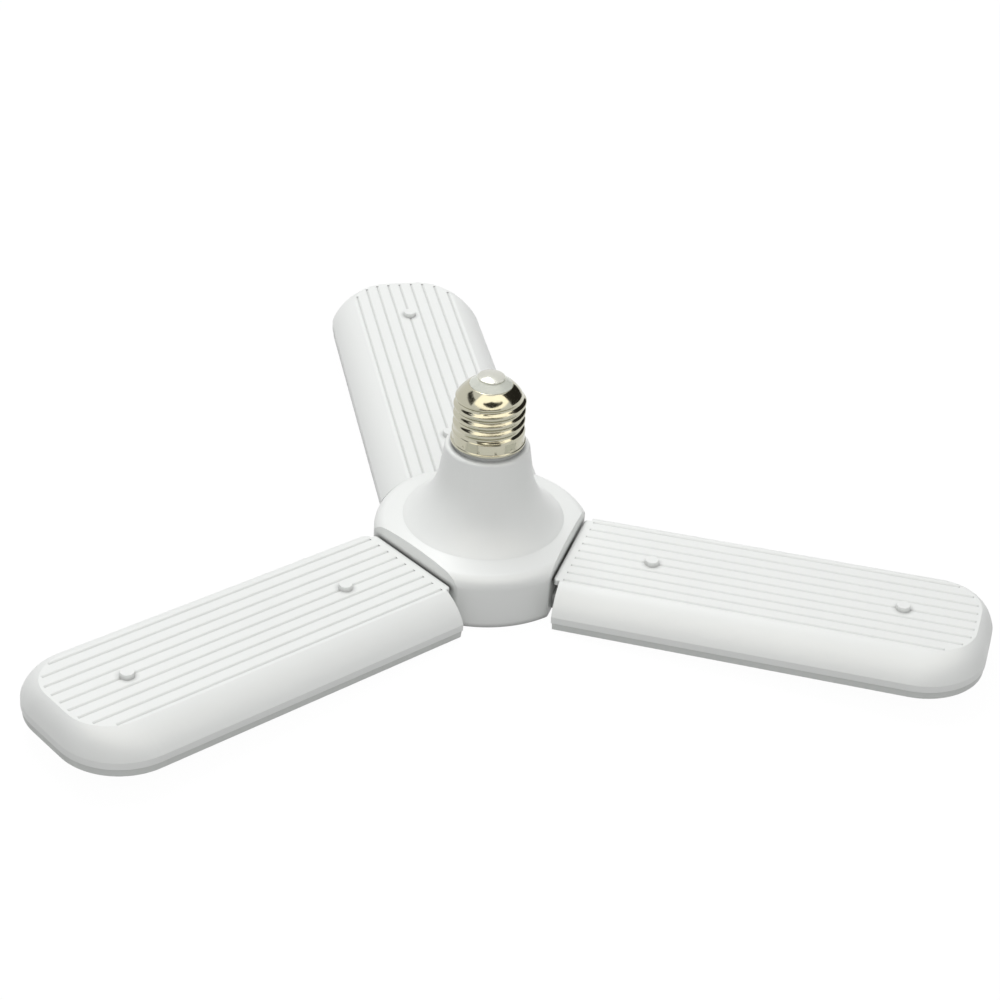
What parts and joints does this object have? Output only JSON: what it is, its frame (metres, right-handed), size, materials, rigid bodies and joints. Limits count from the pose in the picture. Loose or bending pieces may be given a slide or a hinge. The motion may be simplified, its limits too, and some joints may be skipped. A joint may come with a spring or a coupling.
{
  "type": "folding ceiling lamp",
  "caption": "Screw-in ceiling lamp: a trumpet-shaped white hub with folding ribbed light blades around it and a metal screw cap on top.",
  "frame": {"origin": "on the lamp's axis, at the lower rim of the screw cap's skirt", "axes": "+Z along the axis, out of the cap's centre contact; blade 1 points 16.4 degrees from +X towards -Y"},
  "size_m": [0.3328, 0.3291, 0.0819],
  "materials": {
    "nickel": "bright nickel plate with a warm tint",
    "cap_glass": "glossy",
    "contact_metal": "bright nickel plate",
    "white_plastic": "satin white",
    "milky_plastic": "milky, lets light through",
    "screw_steel": "zinc plated",
    "pin_steel": "turned",
    "washer_nylon": "natural",
    "board_aluminium": "white solder mask",
    "light_chip": "phosphor yellow",
    "circuit_board": "green solder mask",
    "capacitor_sleeve": "printed sleeve, left bare",
    "ferrite": "matt",
    "coil_tape": "polyester tape",
    "film_case": "glossy",
    "black_epoxy": "moulded epoxy",
    "resistor_coat": "lacquer",
    "live_insulation": "satin",
    "neutral_insulation": "satin",
    "lead_insulation": "satin"
  },
  "bodies": {
    "hub": {"cap_shell": "nickel", "cap_insulator": "cap_glass", "centre_contact": "contact_metal", "live_lead": "live_insulation", "neutral_lead": "neutral_insulation", "hub_housing": "white_plastic", "hub_cover": "white_plastic", "hub_cover_screws": "screw_steel", "driver_board": "circuit_board", "smoothing_capacitor": "capacitor_sleeve", "transformer_core": "ferrite", "transformer_coil": "coil_tape", "film_capacitor": "film_case", "bridge_rectifier": "black_epoxy", "driver_chip": "black_epoxy", "fuse_resistor": "resistor_coat", "hinge_pins_1": "pin_steel", "hinge_washers_1": "washer_nylon", "blade_lead_1": "lead_insulation", "hinge_pins_2": "pin_steel", "hinge_washers_2": "washer_nylon", "blade_lead_2": "lead_insulation", "hinge_pins_3": "pin_steel", "hinge_washers_3": "washer_nylon", "blade_lead_3": "lead_insulation"},
    "blade_1": {"blade_shell_1": "white_plastic", "diffuser_1": "milky_plastic", "led_board_1": "board_aluminium", "led_chips_1": "light_chip", "board_screws_1": "screw_steel"},
    "blade_2": {"blade_shell_2": "white_plastic", "diffuser_2": "milky_plastic", "led_board_2": "board_aluminium", "led_chips_2": "light_chip", "board_screws_2": "screw_steel"},
    "blade_3": {"blade_shell_3": "white_plastic", "diffuser_3": "milky_plastic", "led_board_3": "board_aluminium", "led_chips_3": "light_chip", "board_screws_3": "screw_steel"}
  },
  "joints": [
    {"name": "blade_1_fold", "type": "hinge", "parent": "hub", "child": "blade_1", "pos_m": [0.03549, -0.01045, -0.0513], "axis": [0.2823, 0.9593, 0], "range_deg": [0, 93], "deforming": ["blade_lead_1"]},
    {"name": "blade_2_fold", "type": "hinge", "parent": "hub", "child": "blade_2", "pos_m": [-0.0087, 0.03596, -0.0513], "axis": [-0.972, -0.2351, 0], "range_deg": [0, 93], "deforming": ["blade_lead_2"]},
    {"name": "blade_3_fold", "type": "hinge", "parent": "hub", "child": "blade_3", "pos_m": [-0.02679, -0.02552, -0.0513], "axis": [0.6896, -0.7242, 0], "range_deg": [0, 93], "deforming": ["blade_lead_3"]}
  ]
}
